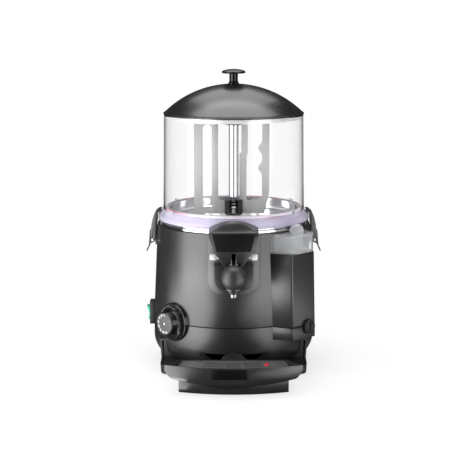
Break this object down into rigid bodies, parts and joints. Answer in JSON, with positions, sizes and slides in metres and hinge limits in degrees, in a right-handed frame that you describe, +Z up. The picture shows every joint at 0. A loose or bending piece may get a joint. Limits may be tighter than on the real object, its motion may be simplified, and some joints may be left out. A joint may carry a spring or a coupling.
{
  "type": "hot chocolate dispenser",
  "caption": "Countertop hot chocolate dispenser: heated drum with a clear bowl, domed lid, agitator, lever tap, dial, side latches, water filler and drip tray.",
  "frame": {"origin": "on the surface it stands on, under the middle of the machine seen from above", "axes": "+Z up, -Y towards the front, where the tap and the drip tray are, +X to the right seen from the front"},
  "size_m": [0.28, 0.41, 0.465],
  "materials": {
    "gloss_black_plastic": "gloss black",
    "satin_anthracite_plastic": "satin, dark grey",
    "polished_steel": "polished",
    "clear_plastic": "clear, gloss",
    "red_seal": "satin, red",
    "grey_blade_plastic": "satin, light grey",
    "black_plastic": "matt black",
    "plated_metal": "satin",
    "pale_plastic": "satin, off-white",
    "green_rocker": "gloss, translucent green",
    "black_rubber": "matt black",
    "red_float": "gloss red"
  },
  "bodies": {
    "machine": {"bowl": "clear_plastic", "seal_ring": "red_seal", "chocolate_basin": "polished_steel", "water_tank": "polished_steel", "column_tube": "polished_steel", "gearmotor": "plated_metal", "heater_ring": "plated_metal", "upper_shell": "satin_anthracite_plastic", "lower_shell": "satin_anthracite_plastic", "tap_panel": "satin_anthracite_plastic", "tap_block": "satin_anthracite_plastic", "tap_barrel": "satin_anthracite_plastic", "barrel_cap": "black_plastic", "piston_spring": "polished_steel", "outlet_pipe": "polished_steel", "nozzle_collar": "black_plastic", "spout_tip": "polished_steel", "tap_head": "satin_anthracite_plastic", "head_plate": "black_plastic", "lever_pin": "polished_steel", "dial_bezel": "gloss_black_plastic", "thermostat_body": "plated_metal", "switch_housing": "black_plastic", "latch_bracket_left": "black_plastic", "latch_bracket_right": "black_plastic", "filler_cup": "clear_plastic", "filler_elbow": "black_rubber", "drain_pipe": "black_rubber", "pedestal": "satin_anthracite_plastic", "base_foot": "satin_anthracite_plastic", "rear_cover": "satin_anthracite_plastic", "cable_gland": "black_plastic", "rubber_foot_front_left": "black_rubber", "rubber_foot_front_right": "black_rubber", "rubber_foot_back_left": "black_rubber", "rubber_foot_back_right": "black_rubber"},
    "lid": {"lid_dome": "satin_anthracite_plastic", "lid_skirt": "polished_steel", "knob_stem": "gloss_black_plastic", "knob_cap": "gloss_black_plastic"},
    "agitator": {"left_blade": "grey_blade_plastic", "right_blade": "grey_blade_plastic", "top_hub": "black_plastic", "lower_hub": "black_plastic", "drive_shaft": "plated_metal"},
    "tap_lever": {"lever": "black_plastic", "ball_knob": "black_plastic"},
    "tap_piston": {"piston": "pale_plastic"},
    "dial": {"dial_knob": "gloss_black_plastic"},
    "switch_rocker": {"rocker": "green_rocker"},
    "handle_left": {"latch_handle_left": "black_plastic"},
    "hook_left": {"latch_hook_left": "black_plastic"},
    "handle_right": {"latch_handle_right": "black_plastic"},
    "hook_right": {"latch_hook_right": "black_plastic"},
    "tray": {"drip_tray": "satin_anthracite_plastic", "tray_front_panel": "black_plastic"},
    "tray_grille": {"grille": "satin_anthracite_plastic"},
    "tray_float": {"float_pin": "red_float"},
    "filler_cover": {"filler_lid": "clear_plastic"},
    "plug": {"drain_plug": "black_plastic"}
  },
  "joints": [
    {"name": "lid_lift", "type": "slide", "parent": "machine", "child": "lid", "axis": [0, 0, 1], "range_m": [0, 0.08]},
    {"name": "agitator_spin", "type": "hinge", "parent": "machine", "child": "agitator", "pos_m": [0, 0.045, 0.25], "axis": [0, 0, 1], "continuous": true},
    {"name": "lever_tilt", "type": "hinge", "parent": "machine", "child": "tap_lever", "pos_m": [0, -0.101, 0.1915], "axis": [-1, 0, 0], "range_deg": [0, 30]},
    {"name": "piston_lift", "type": "slide", "parent": "machine", "child": "tap_piston", "axis": [0, 0, 1], "range_m": [0, 0.0072], "stiffness_N_per_m": 200, "springref_m": -0.003, "deforming": ["piston_spring"]},
    {"name": "dial_turn", "type": "hinge", "parent": "machine", "child": "dial", "pos_m": [-0.0968, -0.0462, 0.0775], "axis": [0.7278, 0.6858, 0], "range_deg": [0, 270]},
    {"name": "rocker_tilt", "type": "hinge", "parent": "machine", "child": "switch_rocker", "pos_m": [-0.131, 0.045, 0.0745], "axis": [0, 1, 0], "range_deg": [0, 12]},
    {"name": "handle_left_swing", "type": "hinge", "parent": "machine", "child": "handle_left", "pos_m": [-0.129, 0.045, 0.207], "axis": [0, 1, 0], "range_deg": [0, 90]},
    {"name": "hook_left_swing", "type": "hinge", "parent": "handle_left", "child": "hook_left", "pos_m": [-0.129, 0.045, 0.194], "axis": [0, 1, 0], "range_deg": [-90, 0]},
    {"name": "handle_right_swing", "type": "hinge", "parent": "machine", "child": "handle_right", "pos_m": [0.129, 0.045, 0.207], "axis": [0, -1, 0], "range_deg": [0, 90]},
    {"name": "hook_right_swing", "type": "hinge", "parent": "handle_right", "child": "hook_right", "pos_m": [0.129, 0.045, 0.194], "axis": [0, -1, 0], "range_deg": [-90, 0]},
    {"name": "tray_pull", "type": "slide", "parent": "machine", "child": "tray", "axis": [0, -1, 0], "range_m": [0, 0.15]},
    {"name": "grille_lift", "type": "slide", "parent": "tray", "child": "tray_grille", "axis": [0, 0, 1], "range_m": [0, 0.06]},
    {"name": "float_rise", "type": "slide", "parent": "tray", "child": "tray_float", "axis": [0, 0, 1], "range_m": [0, 0.004]},
    {"name": "filler_lid_lift", "type": "slide", "parent": "machine", "child": "filler_cover", "axis": [0, 0, 1], "range_m": [0, 0.06]},
    {"name": "plug_turn", "type": "hinge", "parent": "machine", "child": "plug", "pos_m": [0.11561, -0.05859, 0.074], "axis": [0.7071, -0.7071, 0], "range_deg": [0, 180]}
  ],
  "couplings": [
    {"joint": "piston_lift", "follows": "lever_tilt", "m_per_rad": 0.0131},
    {"joint": "hook_left_swing", "follows": "handle_left_swing", "ratio": -1},
    {"joint": "hook_right_swing", "follows": "handle_right_swing", "ratio": -1}
  ]
}
